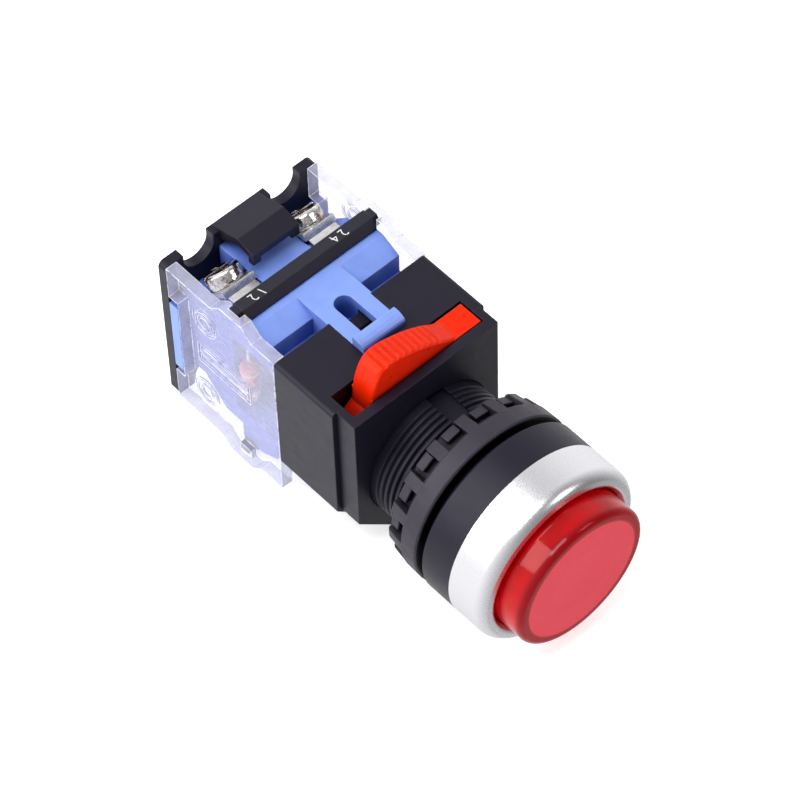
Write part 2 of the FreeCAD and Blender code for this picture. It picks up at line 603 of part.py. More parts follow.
def pusher():
    ring = tube(6.5, 7.9, PLUNGER_REAR + 0.05, PLUNGER_REAR + 1.3)
    leg = box(-2.0, 2.0, PLUNGER_REAR + 0.1, 31.5, 6.6, 7.7)
    slider = box(-CHANNEL_X + 0.08, CHANNEL_X - 0.08, 30.2, 37.0, -7.7, 7.7)
    slider = slider.cut(box(-2.2, 2.2, 29, 34.5, -5.5, 5.5))
    nc_arm = box(-8.4, -3.0, 33.4, 34.7, MID_Z - 1.6, MID_Z + 1.6)
    no_arm = box(3.0, 8.4, 31.7, 32.4, MID_Z - 1.6, MID_Z + 1.6)
    nc_pin = cyl(0.9, 34.6, 39.0, -BRIDGE_X, MID_Z)
    no_pin = cyl(0.9, 32.3, 35.0, BRIDGE_X, MID_Z)
    return fuse([ring, leg, leg.mirror(ORIGIN, vec(0, 0, 1)), slider, nc_arm, no_arm, nc_pin, no_pin])


def bridge(x, y):
    half = 1.6
    plate = box(x - half, x + half, y, y + BRIDGE_T, MID_Z - BRIDGE_REACH, MID_Z + BRIDGE_REACH)
    return plate.cut(cyl(0.95, y - 1, y + 2, x, MID_Z))


def pusher_clips():
    nc_cap = tube(0.9, 1.9, 38.3, 38.9, -BRIDGE_X, MID_Z)
    no_cap = tube(0.9, 1.9, NO_BRIDGE_Y + BRIDGE_T + 0.02, 34.95, BRIDGE_X, MID_Z)
    return [nc_cap, no_cap]


def pair_z(shape):
    return [shape, flip(shape)]


def moving_tips():
    nc = cyl(TIP_R, NC_BRIDGE_Y - 0.3, NC_BRIDGE_Y, -BRIDGE_X, TIP_Z)
    no = cyl(TIP_R, NO_BRIDGE_Y + BRIDGE_T, NO_BRIDGE_Y + BRIDGE_T + 0.6, BRIDGE_X, TIP_Z)
    return pair_z(nc) + pair_z(no)


def fixed_tips():
    nc_face = NC_BRIDGE_Y - 0.3
    nc = cyl(TIP_R, NC_LEG_Y + STRIP_T / 2, nc_face - 0.01, -BRIDGE_X, TIP_Z)
    no_face = NO_BRIDGE_Y + BRIDGE_T + 0.6 + TRAVEL + 0.02
    no = cyl(TIP_R, no_face, NO_LEG_Y - STRIP_T / 2, BRIDGE_X, TIP_Z)
    return pair_z(nc) + pair_z(no)


def resistor():
    """Body with swollen ends."""
    body = Part.makeCylinder(RESISTOR_R - 0.2, 7.0, vec(RESISTOR_X, RESISTOR_Y, -4.0))
    ends = [Part.makeCylinder(RESISTOR_R, 1.7, vec(RESISTOR_X, RESISTOR_Y, z)) for z in (-4.0, 1.3)]
    ends = [end.makeFillet(0.5, [e for e in end.Edges if len(e.Vertexes) == 1]) for end in ends]
    return fuse([body.makeFillet(0.5, [e for e in body.Edges if len(e.Vertexes) == 1])] + ends)


def resistor_leads():
    up = Part.makeCylinder(0.3, 6.0, vec(RESISTOR_X, RESISTOR_Y, 3.0))
    down = Part.makeCylinder(0.3, 1.7, vec(RESISTOR_X, RESISTOR_Y, -5.7))
    return [up, down]


def main():
    os.makedirs("parts", exist_ok=True)
    save("head_housing", head_housing())
    save("panel_gasket", panel_gasket())
    save("bezel_ring", bezel_ring())
    save("lens_cap", lens_cap())
    save("diffuser", diffuser())
    save("button_plunger", button_plunger())
    save("button_return_spring", button_return_spring())
    save("lock_nut", lock_nut())
    save("nut_washer", nut_washer())
    save("lamp_socket", lamp_socket())
    save("lamp_base", lamp_base())
    save("led_capsule", led_capsule())
    save("lamp_carrier", lamp_carrier())
    save("lamp_contact", lamp_contact())
    save("adapter_front", adapter_front())
    save("adapter_body", adapter_body())
    save("locking_lever", locking_lever())
    save("contact_housing", contact_housing())
    save("label_bar_top", label_bar())
    save("label_bar_bottom", flip(label_bar()))
    save("side_cover_right", side_cover())
    save("side_cover_left", swap(side_cover()))
    save("rear_cover", rear_cover())
    save("terminal_screws", four(terminal_screw()))
    save("lock_washers", four(lock_washer()))
    save("clamp_plates", four(clamp_plate()))
    save("fixed_contact_12", swap(fixed_contact(NC_LEG_Y)))
    save("fixed_contact_11", flip(swap(fixed_contact(NC_LEG_Y))))
    save("fixed_contact_24", fixed_contact(NO_LEG_Y))
    save("fixed_contact_23", flip(fixed_contact(NO_LEG_Y)))
    save("fixed_contact_tips", fixed_tips())
    save("contact_pusher", pusher())
    save("pusher_clips", pusher_clips())
    save("closed_contact_bridge", bridge(-BRIDGE_X, NC_BRIDGE_Y))
    save("open_contact_bridge", bridge(BRIDGE_X, NO_BRIDGE_Y))
    save("moving_contact_tips", moving_tips())
    save("closed_contact_spring", rings(1.3, 0.2, 35.3, 38.28, 6, -BRIDGE_X, MID_Z))
    save("open_contact_spring", rings(1.3, 0.2, 32.42, 33.88, 4, BRIDGE_X, MID_Z))
    save("pusher_return_spring", rings(2.2, 0.3, 37.02, CHANNEL_REAR - 0.02, 7))
    save("resistor", resistor())
    save("resistor_leads", resistor_leads())


main()
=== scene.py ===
import math

import bpy
from mathutils import Matrix, Vector


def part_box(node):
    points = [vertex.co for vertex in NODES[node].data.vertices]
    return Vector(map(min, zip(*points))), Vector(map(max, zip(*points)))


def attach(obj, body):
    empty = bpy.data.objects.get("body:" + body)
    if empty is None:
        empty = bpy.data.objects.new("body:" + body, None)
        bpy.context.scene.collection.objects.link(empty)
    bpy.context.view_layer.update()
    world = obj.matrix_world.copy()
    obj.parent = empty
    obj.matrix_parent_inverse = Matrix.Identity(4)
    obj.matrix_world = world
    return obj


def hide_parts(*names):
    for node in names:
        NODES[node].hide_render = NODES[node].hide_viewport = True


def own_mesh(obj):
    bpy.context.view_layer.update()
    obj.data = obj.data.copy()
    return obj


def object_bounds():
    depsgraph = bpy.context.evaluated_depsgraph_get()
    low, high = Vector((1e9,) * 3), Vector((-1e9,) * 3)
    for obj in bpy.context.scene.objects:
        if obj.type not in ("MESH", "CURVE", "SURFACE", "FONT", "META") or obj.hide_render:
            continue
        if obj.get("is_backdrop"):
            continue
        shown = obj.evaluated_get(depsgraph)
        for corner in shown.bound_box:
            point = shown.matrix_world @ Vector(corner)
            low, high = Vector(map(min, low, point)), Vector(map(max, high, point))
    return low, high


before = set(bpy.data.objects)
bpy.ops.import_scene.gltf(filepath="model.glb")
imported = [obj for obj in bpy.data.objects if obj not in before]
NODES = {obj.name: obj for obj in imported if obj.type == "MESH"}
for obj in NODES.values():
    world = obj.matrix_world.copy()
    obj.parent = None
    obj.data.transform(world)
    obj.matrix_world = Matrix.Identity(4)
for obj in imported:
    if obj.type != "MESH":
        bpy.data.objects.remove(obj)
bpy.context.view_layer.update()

MM = 0.001

# ---- camera, in the CAD frame ----
CAMERA_AZIMUTH = math.radians(-40.59)
CAMERA_ELEVATION = math.radians(53.75)
CAMERA_ROLL = math.radians(-2.12)
CAMERA_AIM = Vector((-1.71, 17.36, 8.23)) * MM
CAMERA_DISTANCE = 556.9 * MM
CAMERA_LENS = 185.9       # mm, on a 36 mm sensor

# ---- terminal numbers on the label bars ----
DIGIT_HEIGHT = 1.4 * MM
DIGIT_SHARE = 0.7         # of the type size that a digit stands tall
DIGIT_X = {"12": -8.6 * MM, "24": 6.1 * MM, "11": -8.6 * MM, "23": 6.1 * MM}
DIGIT_Y = 38.3 * MM
DIGIT_RAISE = 0.01 * MM
DIGIT_SLANT = -0.35
DIGIT_SPACING = 1.55
DIGIT_THINNING = -0.02 * MM

# ---- springs: name, CAD stand-in, wire radius, turns, and the joint or body they go with ----
SQUASHED_SPRINGS = (("button_spring_coil", "button_return_spring", 0.35 * MM, 8, "button_push"),
                    ("pusher_spring_coil", "pusher_return_spring", 0.30 * MM, 9, "pusher_slide"))
RIDING_SPRINGS = (("closed_spring_coil", "closed_contact_spring", 0.2 * MM, 6, "pusher"),
                  ("open_spring_coil", "open_contact_spring", 0.2 * MM, 3, "pusher"))
POINTS_PER_TURN = 20

# ---- lens cap: radii of its frosted face, and depths behind its front, in millimetres ----
FACE_INNER, FACE_OUTER = 9.45, 9.95
FACE_DEPTH, FACE_DEPTH_END = 0.9, 1.2
RIM_DEPTH, RIM_DEPTH_END = 0.5, 1.5

# ---- resistor: place of each band along its length, and its colour ----
BANDS = ((0.22, (0.75, 0.70, 0.62)), (0.42, (0.05, 0.03, 0.02)),
         (0.60, (0.7, 0.02, 0.02)), (0.82, (0.75, 0.55, 0.15)))
BAND_INNER, BAND_OUTER = 0.045, 0.065

# ---- studio, in metres: each glow is an axis, a low and a high slope along it, and the light at each ----
GLOWS = (((-0.5, 0.6, -0.2), -0.8, 0.8, 0.20, 1.10),
         ((0.9, 0.43, 0.05), 0.5, 1.0, 0.0, 0.45))
MIDDLE = Vector((0, 0.02, 0))
LENS = Vector((0, -0.015, 0))
FLOOR_HALF = 3.0


# ------------------------------------------------------------ shader helpers

class Shader:
    """A material's node tree, with short ways to add and wire nodes. Distances are in millimetres."""

    def __init__(self, name):
        self.material = bpy.data.materials.new(name)
        self.material.use_nodes = True
        self.tree = self.material.node_tree
        self.tree.nodes.clear()
        self.output = self.tree.nodes.new("ShaderNodeOutputMaterial")
        self.bsdf = self.node("ShaderNodeBsdfPrincipled")
        self.link(self.bsdf.outputs[0], self.output.inputs["Surface"])
        coordinates = self.node("ShaderNodeTexCoord")
        self.place = self.node("ShaderNodeVectorMath", operation="SCALE")
        self.link(coordinates.outputs["Object"], self.place.inputs[0])
        self.place.inputs["Scale"].default_value = 1.0 / MM
        self.place = self.place.outputs[0]

    def node(self, kind, **settings):
        made = self.tree.nodes.new(kind)
        for key, value in settings.items():
            setattr(made, key, value)
        return made

    def link(self, source, target):
        self.tree.links.new(source, target)

    def feed(self, target, value):
        """Wire a socket in, or set a plain value."""
        if isinstance(value, bpy.types.NodeSocket):
            self.link(value, target)
        else:
            target.default_value = value

    def noise(self, scale, detail=3.0, rough=0.5, stretch=(1, 1, 1)):
        """Cloudy pattern, with scale in features per millimetre."""
        mapping = self.node("ShaderNodeVectorMath", operation="MULTIPLY")
        self.link(self.place, mapping.inputs[0])
        mapping.inputs[1].default_value = stretch
        texture = self.node("ShaderNodeTexNoise")
        self.link(mapping.outputs[0], texture.inputs["Vector"])
        texture.inputs["Scale"].default_value = scale
        texture.inputs["Detail"].default_value = detail
        texture.inputs["Roughness"].default_value = rough
        return texture.outputs["Fac"]

    def ramp(self, fac, low, high, out_low=0.0, out_high=1.0):
        """Straight line from out_low at low to out_high at high, held beyond both ends."""
        mapped = self.node("ShaderNodeMapRange", clamp=True)
        self.feed(mapped.inputs["Value"], fac)
        for key, value in (("From Min", low), ("From Max", high), ("To Min", out_low), ("To Max", out_high)):
            self.feed(mapped.inputs[key], value)
        return mapped.outputs[0]

    def mix(self, fac, a, b):
        """Colour mix."""
        mixed = self.node("ShaderNodeMix", data_type="RGBA")
        self.feed(mixed.inputs["Factor"], fac)
        for socket, value in ((mixed.inputs[6], a), (mixed.inputs[7], b)):
            self.feed(socket, value if isinstance(value, bpy.types.NodeSocket) else (*value, 1.0))
        return mixed.outputs[2]

    def math(self, operation, a, b=0.0):
        """Scalar arithmetic on sockets or plain numbers."""
        made = self.node("ShaderNodeMath", operation=operation)
        self.feed(made.inputs[0], a)
        self.feed(made.inputs[1], b)
        return made.outputs[0]

    def axis(self, index):
        """One coordinate of the point, in millimetres."""
        parts = self.node("ShaderNodeSeparateXYZ")
        self.link(self.place, parts.inputs[0])
        return parts.outputs[index]

    def facing(self, index):
        """How much the surface faces along one axis of the frame, 0 to 1."""
        geometry = self.node("ShaderNodeNewGeometry")
        parts = self.node("ShaderNodeSeparateXYZ")
        self.link(geometry.outputs["True Normal"], parts.inputs[0])
        return self.math("ABSOLUTE", parts.outputs[index])

    def soft_edges(self, radius, samples=4):
        """Rounded-edge normal, and a mask that is 1 on the edges."""
        bevel = self.node("ShaderNodeBevel", samples=samples)
        bevel.inputs["Radius"].default_value = radius * MM
        geometry = self.node("ShaderNodeNewGeometry")
        dot = self.node("ShaderNodeVectorMath", operation="DOT_PRODUCT")
        self.link(bevel.outputs[0], dot.inputs[0])
        self.link(geometry.outputs["Normal"], dot.inputs[1])
        return bevel.outputs[0], self.ramp(dot.outputs["Value"], 0.995, 0.80)

    def openness(self, reach, low=0.15, high=0.72, samples=4):
        """1 on open surfaces, falling to 0 deep in crevices; the mask for painted crevice shade."""
        occlusion = self.node("ShaderNodeAmbientOcclusion", samples=samples)
        occlusion.inputs["Distance"].default_value = reach * MM
        return self.ramp(occlusion.outputs["AO"], low, high)

    def bump(self, height, strength, distance, normal=None):
        made = self.node("ShaderNodeBump")
        made.inputs["Strength"].default_value = strength
        made.inputs["Distance"].default_value = distance * MM
        self.feed(made.inputs["Height"], height)
        if normal is not None:
            self.link(normal, made.inputs["Normal"])
        return made.outputs[0]

    def set(self, **values):
        """Feed the surface's inputs, named with _ for each space."""
        for key, value in values.items():
            self.feed(self.bsdf.inputs[key.replace("_", " ")], value)


def moulded(name, colour, worn_and_highlit, rough=(0.35, 0.5), grain=0.25, edge=0.22, subsurface=0.0, shine=0.5,
            crevice_shade=(0, 0, 0), reach=5.0, tint=(1, 1, 1)):
    """Injection-moulded plastic: mottled and spark-eroded, paler at edges (partly scuff wear, partly a
    painted edge highlight), with painted shade darkening colour and reflection in crevices.
    """
    s = Shader(name)
    normal, edges = s.soft_edges(edge)
    mottle = s.ramp(s.noise(0.35, 4.0), 0.3, 0.7)
    dark = tuple(0.90 * c for c in colour)
    base = s.mix(mottle, dark, colour)
    # Paler edges: partly scuff wear, partly a painted edge highlight.
    scuffs_and_highlight = s.math("MULTIPLY", edges, s.ramp(s.noise(1.4, 5.0, 0.7), 0.35, 0.75))
    base = s.mix(scuffs_and_highlight, base, worn_and_highlit)
    # Painted shade: ambient occlusion darkens the colour in crevices and lowers the reflection there.
    unshaded = s.openness(reach)
    base = s.mix(unshaded, crevice_shade, base)
    fine = s.noise(7.0, 2.0, 0.6)
    flow = s.noise(0.6, 3.0, 0.5, stretch=(1, 0.7, 1))
    height = s.math("ADD", s.math("MULTIPLY", fine, 0.85), s.math("MULTIPLY", flow, 0.15))
    s.set(Base_Color=base, Roughness=s.ramp(flow, 0.3, 0.7, *rough),
          Normal=s.bump(height, grain, 0.03, normal), Subsurface_Weight=subsurface,
          Specular_IOR_Level=s.ramp(unshaded, 0.0, 1.0, 0.25 * shine, shine), Specular_Tint=(*tint, 1.0))
    s.bsdf.inputs["Subsurface Radius"].default_value = (0.8 * MM, 0.8 * MM, 1.2 * MM)
    s.bsdf.inputs["Subsurface Scale"].default_value = 1.0
    return s.material


def metal(name, colour, tarnish, rough=(0.15, 0.3), grain=0.15, scale=6.0, stretch=(1, 1, 1), edge=0.08,
          crevice_shade=None):
    """Bare or plated metal: uneven polish, fine marks, a little tarnish, and painted shade in crevices when
    a shade colour is given.
    """
    s = Shader(name)
    normal, edges = s.soft_edges(edge)
    patches = s.ramp(s.noise(0.9, 4.0, 0.6), 0.35, 0.75)
    marks = s.noise(scale, 3.0, 0.65, stretch=stretch)
    base = s.mix(patches, colour, tarnish)
    base = s.mix(s.math("MULTIPLY", edges, 0.5), base, tuple(min(1.0, 1.15 * c) for c in colour))
    # Painted shade: ambient occlusion darkens the colour in crevices.
    if crevice_shade:
        base = s.mix(s.openness(1.1, 0.30, 0.62), crevice_shade, base)
    s.set(Base_Color=base, Metallic=1.0, Roughness=s.ramp(marks, 0.3, 0.7, *rough),
          Normal=s.bump(marks, grain, 0.02, normal))
    return s.material


def nickel_plate():
    """Bright plating with wavy polish, as on small screw-machine parts; warm brown stains and dark streaks
    stand partly for tarnish and partly for painted reflections of dark surroundings.
    """
    s = Shader("nickel_plate")
    normal, edges = s.soft_edges(0.12)
    # Brown stains and dark streaks: partly tarnish, partly painted reflections of dark surroundings.
    stain_and_reflection = s.ramp(s.noise(0.9, 4.0, 0.65), 0.48, 0.64)
    polish_and_reflection_streak = s.ramp(s.noise(2.2, 3.0, 0.6, stretch=(0.4, 1, 1)), 0.40, 0.62)
    base = s.mix(stain_and_reflection, (0.98, 0.96, 0.94), (0.42, 0.27, 0.20))
    base = s.mix(s.math("MULTIPLY", polish_and_reflection_streak, 0.22), base, (0.08, 0.06, 0.06))
    base = s.mix(s.math("MULTIPLY", edges, 0.85), base, (1.0, 0.98, 0.96))
    wave = s.noise(1.3, 2.0, 0.6)
    s.set(Base_Color=base, Metallic=1.0, Roughness=s.ramp(polish_and_reflection_streak, 0.0, 1.0, 0.08, 0.20),
          Normal=s.bump(wave, 0.5, 0.12, normal))
    return s.material


def satin_aluminium():
    """Fine bead-blasted ring: tiny sparkle in colour and roughness."""
    s = Shader("satin_aluminium")
    normal, _ = s.soft_edges(0.15)
    blast = s.noise(9.0, 2.0, 0.7)
    base = s.mix(s.ramp(blast, 0.35, 0.7), (0.80, 0.80, 0.84), (0.94, 0.94, 0.97))
    s.set(Base_Color=base, Metallic=1.0, Roughness=s.ramp(blast, 0.3, 0.7, 0.22, 0.32),
          Normal=s.bump(blast, 0.16, 0.02, normal))
    return s.material


def red_lens():
    """Dyed clear acrylic: glossy wall, darker rim, finely frosted face that reads pinker, all with a faint
    painted glow.
    """
    s = Shader("red_lens")
    normal, _ = s.soft_edges(0.35)
    radius = s.math("SQRT", s.math("ADD", s.math("POWER", s.axis(0), 2.0), s.math("POWER", s.axis(2), 2.0)))
    low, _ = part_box("lens_cap")
    tip = low.y / MM
    front = s.ramp(s.axis(1), tip + FACE_DEPTH_END, tip + FACE_DEPTH)
    inner = s.math("MULTIPLY", front, s.ramp(radius, FACE_OUTER, FACE_INNER))
    outer = s.math("SUBTRACT", 1.0, inner)
    rim = s.math("MULTIPLY", s.ramp(s.axis(1), tip + RIM_DEPTH_END, tip + RIM_DEPTH), outer)
    haze = s.noise(5.0, 3.0, 0.6)
    depth = s.noise(0.22, 2.0)
    wall = s.mix(s.ramp(depth, 0.3, 0.7), (0.42, 0.0, 0.001), (0.64, 0.0, 0.004))
    wall = s.mix(s.math("MULTIPLY", rim, 0.75), wall, (0.30, 0.0, 0.006))
    face = s.mix(s.ramp(haze, 0.3, 0.7), (0.60, 0.019, 0.041), (0.67, 0.033, 0.059))
    # Painted glow: the wall and face emit their own colour faintly, the rim less.
    s.set(Base_Color=s.mix(inner, wall, face), Roughness=s.ramp(inner, 0.0, 1.0, 0.05, 0.42),
          Transmission_Weight=s.ramp(inner, 0.0, 1.0, 0.35, 0.0), IOR=1.49,
          Specular_IOR_Level=s.ramp(inner, 0.0, 1.0, 0.15, 0.35),
          Normal=s.bump(haze, 0.05, 0.02, normal), Emission_Color=s.mix(inner, wall, face),
          Emission_Strength=s.ramp(rim, 0.0, 1.0, 0.10, 0.02))
    return s.material


def clear_cover():
    """Clear polycarbonate: see-through faces, milky edges with painted white and dark glint lines, moulding
    ripple and haze; haze and white lines glow as painted light.
    """
    s = Shader("clear_cover")
    normal, edges = s.soft_edges(0.26)
    across = s.ramp(s.facing(0), 0.5, 0.95)
    cloud = s.noise(0.45, 4.0, 0.6)
    streaks = s.ramp(s.noise(1.6, 3.0, 0.6, stretch=(1, 0.3, 1)), 0.45, 0.75)
    milk = s.mix(s.ramp(cloud, 0.3, 0.7), (0.38, 0.39, 0.54), (0.54, 0.55, 0.70))
    milk = s.mix(across, milk, (0.85, 0.86, 1.0))
    # Edge lines are painted glints: white where the glint noise is high, dark elsewhere.
    rim = s.math("MULTIPLY", edges, s.ramp(cloud, 0.35, 0.6, 0.6, 1.0))
    glint = s.ramp(s.noise(0.8, 3.0, 0.6), 0.36, 0.48)
    line = s.mix(glint, (0.16, 0.16, 0.22), (0.97, 0.97, 1.0))
    glint_glow = s.math("MULTIPLY", rim, glint)
    ripple = s.noise(1.2, 2.0, 0.5)
    # Painted glow: the haze on the wide faces and the white edge lines emit light.
    s.set(Base_Color=s.mix(rim, milk, line), Roughness=s.ramp(cloud, 0.3, 0.7, 0.06, 0.2),
          Normal=s.bump(ripple, 0.25, 0.05, normal), Emission_Color=milk,
          Emission_Strength=s.math("ADD", s.ramp(across, 0.0, 1.0, 0.0, 0.45), glint_glow))
    clear = s.node("ShaderNodeBsdfTransparent")
    clear.inputs["Color"].default_value = (0.915, 0.910, 0.935, 1.0)
    gloss = s.node("ShaderNodeFresnel")
    gloss.inputs["IOR"].default_value = 1.35
    solid = s.math("ADD", s.ramp(across, 0.0, 1.0, 0.44, 0.065), s.math("MULTIPLY", gloss.outputs[0], 0.22))
    solid = s.math("ADD", solid, s.math("MULTIPLY", streaks, 0.04))
    solid = s.math("ADD", solid, s.math("MULTIPLY", rim, 0.65))
    blend = s.node("ShaderNodeMixShader")
    s.link(s.math("MINIMUM", solid, 0.92), blend.inputs[0])
    s.link(clear.outputs[0], blend.inputs[1])
    s.link(s.bsdf.outputs[0], blend.inputs[2])
    s.link(blend.outputs[0], s.output.inputs["Surface"])
    return s.material


def rubber():
    """Soft black gasket rubber, matt and finely grained."""
    s = Shader("gasket_rubber")
    grain = s.noise(4.0, 5.0, 0.7)
    s.set(Base_Color=s.mix(s.ramp(grain, 0.3, 0.7), (0.012, 0.012, 0.013), (0.035, 0.035, 0.037)),
          Roughness=s.ramp(grain, 0.3, 0.7, 0.7, 0.9), Normal=s.bump(grain, 0.4, 0.04))
    return s.material


def banded_resistor():
    """Lacquered body with coloured bands round it, spaced along its length."""
    s = Shader("banded_resistor")
    low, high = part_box("resistor")
    span = (high.z - low.z) / MM
    along = s.math("DIVIDE", s.math("SUBTRACT", s.axis(2), low.z / MM), span)
    base = s.mix(s.ramp(s.noise(2.0, 3.0), 0.3, 0.7), (0.62, 0.10, 0.10), (0.75, 0.20, 0.17))
    for centre, colour in BANDS:
        offset = s.math("ABSOLUTE", s.math("SUBTRACT", along, centre))
        base = s.mix(s.ramp(offset, BAND_OUTER, BAND_INNER), base, colour)
    s.set(Base_Color=base, Roughness=0.3, Coat_Weight=0.5, Normal=s.bump(s.noise(3.0), 0.1, 0.03))
    return s.material


def led_capsule_material():
    """Tinted epoxy of the light-emitting diode."""
    s = Shader("led_capsule")
    cloud = s.noise(0.8, 3.0)
    s.set(Base_Color=s.mix(s.ramp(cloud, 0.3, 0.7), (0.75, 0.06, 0.05), (0.85, 0.16, 0.12)),
          Roughness=0.2, Transmission_Weight=0.5, Normal=s.bump(cloud, 0.1, 0.05))
    return s.material


def floor_material():
    """Pale matt studio paper."""
    s = Shader("studio_floor")
    cloud = s.noise(0.01, 2.0)
    pale = s.mix(cloud, (0.93, 0.93, 0.935), (0.96, 0.96, 0.96))
    s.set(Base_Color=pale, Roughness=0.9, Emission_Color=pale, Emission_Strength=0.55)
    return s.material


def make_materials():
    """Node name to material, for every CAD node."""
    black = moulded("black_plastic", (0.0105, 0.0090, 0.0190), (0.060, 0.058, 0.075),
                    rough=(0.36, 0.42), grain=0.28, shine=0.29, crevice_shade=(0.002, 0.002, 0.003),
                    tint=(0.94, 0.90, 1.0))
    label_black = moulded("label_plastic", (0.0200, 0.0190, 0.0280), (0.085, 0.082, 0.10),
                          rough=(0.36, 0.46), grain=0.32, shine=0.30, crevice_shade=(0.002, 0.002, 0.003),
                          tint=(0.94, 0.90, 1.0))
    nut_black = moulded("nut_plastic", (0.029, 0.025, 0.038), (0.13, 0.12, 0.15),
                        rough=(0.40, 0.55), grain=0.35, shine=0.42, crevice_shade=(0.003, 0.003, 0.004),
                        reach=3.0, tint=(0.96, 0.92, 1.0))
    blue = moulded("blue_plastic", (0.215, 0.335, 0.82), (0.50, 0.60, 1.0),
                   rough=(0.28, 0.40), grain=0.16, subsurface=0.06, crevice_shade=(0.030, 0.075, 0.42), reach=4.5)
    orange = moulded("orange_plastic", (0.80, 0.018, 0.001), (1.0, 0.13, 0.04),
                     rough=(0.26, 0.38), grain=0.14, subsurface=0.05, shine=0.30,
                     crevice_shade=(0.16, 0.002, 0.001), reach=4.0, tint=(1.0, 0.5, 0.35))
    white = moulded("white_plastic", (0.74, 0.74, 0.71), (0.82, 0.82, 0.80),
                    rough=(0.3, 0.45), grain=0.15, subsurface=0.1)
    nickel = nickel_plate()
    tinned = metal("tinned_steel", (0.97, 0.96, 0.96), (0.70, 0.66, 0.65),
                   rough=(0.24, 0.36), grain=0.45, scale=4.0, stretch=(0.4, 2.5, 2.5), edge=0.1,
                   crevice_shade=(0.22, 0.17, 0.16))
    brass = metal("brass", (0.78, 0.56, 0.25), (0.55, 0.38, 0.17), rough=(0.2, 0.35))
    silver = metal("silver_contact", (0.88, 0.87, 0.84), (0.66, 0.64, 0.60), rough=(0.15, 0.3))
    steel = metal("spring_steel", (0.56, 0.56, 0.58), (0.40, 0.39, 0.38), rough=(0.2, 0.32), scale=12.0)
    lens, clear = red_lens(), clear_cover()
    table = {
        black: ("head_housing", "lamp_carrier", "adapter_front", "adapter_body", "rear_cover", "nut_washer"),
        label_black: ("label_bar_top", "label_bar_bottom"),
        nut_black: ("lock_nut",),
        blue: ("contact_housing",),
        orange: ("locking_lever",),
        white: ("diffuser", "button_plunger", "contact_pusher", "pusher_clips"),
        nickel: ("lamp_base", "terminal_screws", "lock_washers", "resistor_leads"),
        tinned: ("clamp_plates", "fixed_contact_12", "fixed_contact_11", "fixed_contact_24",
                 "fixed_contact_23"),
        brass: ("lamp_socket", "lamp_contact", "closed_contact_bridge", "open_contact_bridge"),
        silver: ("fixed_contact_tips", "moving_contact_tips"),
        steel: ("button_return_spring", "pusher_return_spring", "closed_contact_spring",
                "open_contact_spring"),
        lens: ("lens_cap",),
        clear: ("side_cover_left", "side_cover_right"),
        satin_aluminium(): ("bezel_ring",),
        rubber(): ("panel_gasket",),
        banded_resistor(): ("resistor",),
        led_capsule_material(): ("led_capsule",),
    }
    return {node: material for material, nodes in table.items() for node in nodes}


def dress(obj, material):
    obj.data.materials.clear()
    obj.data.materials.append(material)


# ------------------------------------------------------------ pieces

def link_mesh(name, mesh, material):
    obj = bpy.data.objects.new(name, mesh)
    bpy.context.scene.collection.objects.link(obj)
    dress(obj, material)
    return obj


def mesh_from(obj):
    """The finished mesh of a curve or text object, which is then removed."""
    bpy.context.view_layer.update()
    graph = bpy.context.evaluated_depsgraph_get()
    mesh = bpy.data.meshes.new_from_object(obj.evaluated_get(graph))
    mesh.transform(obj.matrix_world)
    bpy.data.objects.remove(obj)
    return mesh


def coil_spring(name, node, wire, turns, material):
    """Round-wire helix with closed end turns, filling the space of its CAD stand-in."""
    low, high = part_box(node)
    x, z = 0.5 * (low.x + high.x), 0.5 * (low.z + high.z)
    radius = 0.5 * (high.z - low.z) - wire
    y0, y1 = low.y + wire, high.y - wire
    count = turns * POINTS_PER_TURN
    closed = 1.0 / turns
    dead = 1.5 * wire * 2 / (y1 - y0)
    curve = bpy.data.curves.new(name, "CURVE")
    curve.dimensions = "3D"
    curve.bevel_depth = wire
    curve.bevel_resolution = 3
    curve.use_fill_caps = True
    line = curve.splines.new("POLY")
    line.points.add(count)
    for i in range(count + 1):
        t = i / count
        if t < closed:
            along = dead * t / closed
        elif t > 1 - closed:
            along = 1 - dead * (1 - t) / closed
        else:
            along = dead + (1 - 2 * dead) * (t - closed) / (1 - 2 * closed)
        angle = 2 * math.pi * turns * t
        line.points[i].co = (x + radius * math.cos(angle), y0 + along * (y1 - y0),
                             z + radius * math.sin(angle), 1)
    obj = bpy.data.objects.new(name, curve)
    bpy.context.scene.collection.objects.link(obj)
    piece = link_mesh(name, mesh_from(obj), material)
    for face in piece.data.polygons:
        face.use_smooth = True
    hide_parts(node)
    return piece


def springs(material):
    """The two return springs stay on the base, each with its own copy of its mesh; the contact springs ride
    on the pusher.
    """
    for name, node, wire, turns, joint in SQUASHED_SPRINGS:
        piece = coil_spring(name, node, wire, turns, material)
        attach(piece, "base")
        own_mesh(piece)
    for name, node, wire, turns, body in RIDING_SPRINGS:
        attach(coil_spring(name, node, wire, turns, material), body)


def ink():
    """White print, slightly rubbed."""
    s = Shader("white_ink")
    wear = s.noise(3.0, 4.0, 0.7)
    s.set(Base_Color=s.mix(s.ramp(wear, 0.25, 0.6), (0.55, 0.55, 0.56), (0.86, 0.86, 0.85)),
          Roughness=0.6, Normal=s.bump(wear, 0.1, 0.02))
    return s.material


